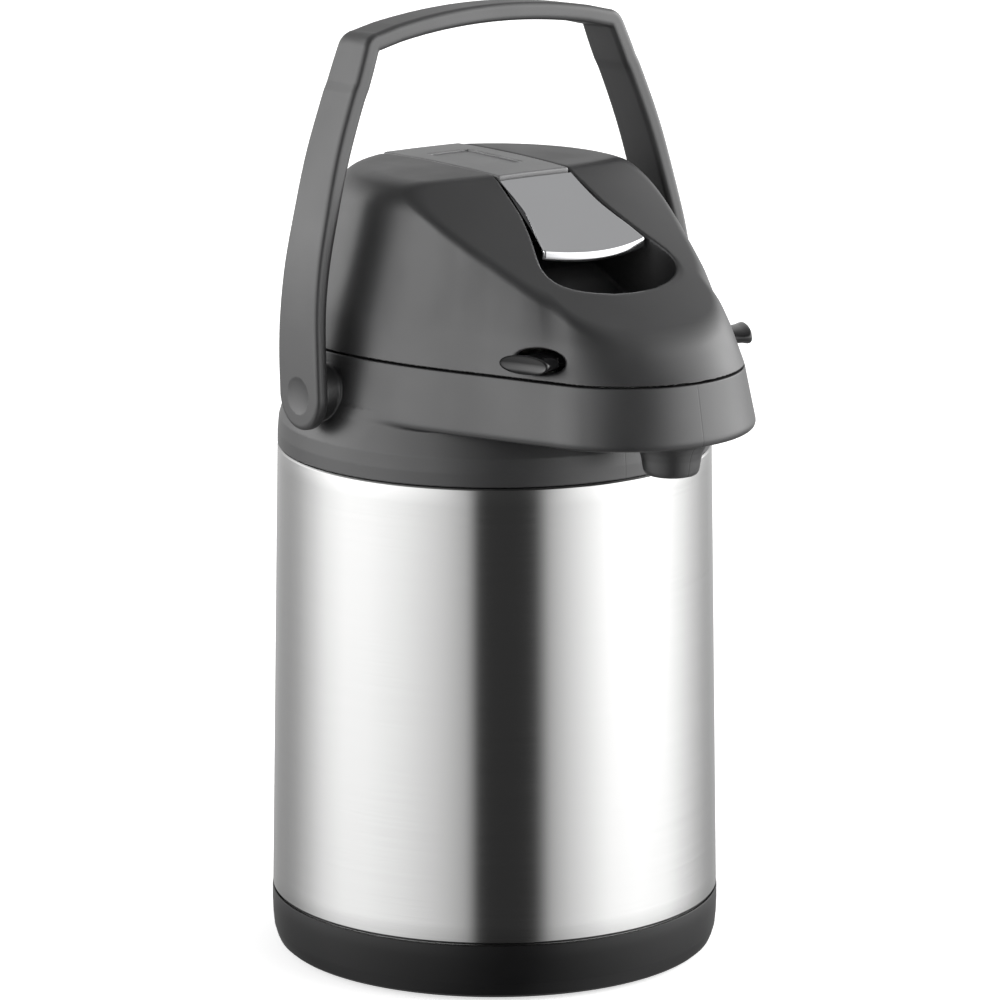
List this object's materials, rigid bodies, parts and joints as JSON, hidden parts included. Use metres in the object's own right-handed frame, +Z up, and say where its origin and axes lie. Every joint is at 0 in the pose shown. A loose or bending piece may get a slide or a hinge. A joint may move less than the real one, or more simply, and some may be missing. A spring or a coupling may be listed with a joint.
{
  "type": "thermal coffee airpot",
  "caption": "Lever-pump insulated coffee airpot with brushed steel body, domed charcoal lid, chrome press plate, carrying handle and swivel base",
  "frame": {"origin": "centre of the underside of the foot, on the pot's axis, at table height", "axes": "+Z up along the pot's axis; the spout points along -Y; +X is to the right of someone facing along +Y"},
  "size_m": [0.168, 0.2051, 0.3428],
  "materials": {
    "charcoal": "satin moulded charcoal plastic, fine spark texture",
    "black_plastic": "satin black moulded plastic",
    "gloss_black": "polished black plastic",
    "brushed_steel": "horizontally brushed stainless steel",
    "steel": "plain stainless steel",
    "chrome": "bright plated plate",
    "white_plastic": "natural food-grade plastic",
    "silicone": "translucent food-grade silicone",
    "rubber": "black anti-slip rubber"
  },
  "bodies": {
    "swivel_base": {"swivel_foot": "black_plastic", "foot_pad": "rubber", "swivel_glide_ring": "white_plastic"},
    "pot": {"base_cup": "black_plastic", "outer_shell": "brushed_steel", "inner_liner": "steel", "flask_support": "white_plastic", "swivel_screw": "steel", "swivel_washer": "steel", "collar": "charcoal", "stem_plug": "white_plastic", "stem_seal": "silicone", "dip_tube": "steel", "dip_tube_tip": "white_plastic", "spout_tube": "silicone", "spout_cover": "charcoal", "handle_pin_left": "black_plastic", "handle_pin_right": "black_plastic", "lid_hinge_pin": "steel"},
    "carry_handle": {"handle": "charcoal"},
    "lid": {"lid_cover": "charcoal", "lid_base": "white_plastic", "lid_gasket": "silicone", "check_valve": "silicone", "bellows": "silicone", "bellows_ring": "white_plastic", "bellows_spring": "steel", "lever_pin": "steel", "lid_screw_1": "steel", "lid_screw_2": "steel", "lid_screw_3": "steel", "lid_screw_4": "steel", "latch_spring_left": "steel", "latch_spring_right": "steel"},
    "lever": {"lever_arm": "charcoal", "lever_plate": "chrome", "lever_screw_1": "steel", "lever_screw_2": "steel"},
    "pump": {"pump_plate": "white_plastic"},
    "latch_l": {"latch_left": "gloss_black"},
    "latch_r": {"latch_right": "gloss_black"}
  },
  "joints": [
    {"name": "base_swivel", "type": "hinge", "parent": "swivel_base", "child": "pot", "pos_m": [0, 0, 0.003], "axis": [0, 0, 1], "continuous": true},
    {"name": "handle_swing", "type": "hinge", "parent": "pot", "child": "carry_handle", "pos_m": [0, 0.0013, 0.2118], "axis": [1, 0, 0], "range_deg": [-88, 92]},
    {"name": "lid_hinge", "type": "hinge", "parent": "pot", "child": "lid", "pos_m": [0, 0.0795, 0.2225], "axis": [-1, 0, 0], "range_deg": [0, 30]},
    {"name": "lever_press", "type": "hinge", "parent": "lid", "child": "lever", "pos_m": [0, 0.042, 0.279], "axis": [1, 0, 0], "range_deg": [0, 9], "stiffness_Nm_per_rad": 1.5},
    {"name": "pump_stroke", "type": "slide", "parent": "lid", "child": "pump", "axis": [0, 0, -1], "range_m": [0, 0.0072], "deforming": ["bellows", "bellows_spring"]},
    {"name": "latch_left_press", "type": "slide", "parent": "lid", "child": "latch_l", "axis": [1, 0, 0], "range_m": [0, 0.003], "stiffness_N_per_m": 300, "deforming": ["latch_spring_left"]},
    {"name": "latch_right_press", "type": "slide", "parent": "lid", "child": "latch_r", "axis": [-1, 0, 0], "range_m": [0, 0.003], "stiffness_N_per_m": 300, "deforming": ["latch_spring_right"]}
  ],
  "couplings": [
    {"joint": "pump_stroke", "follows": "lever_press", "m_per_rad": 0.0445}
  ]
}
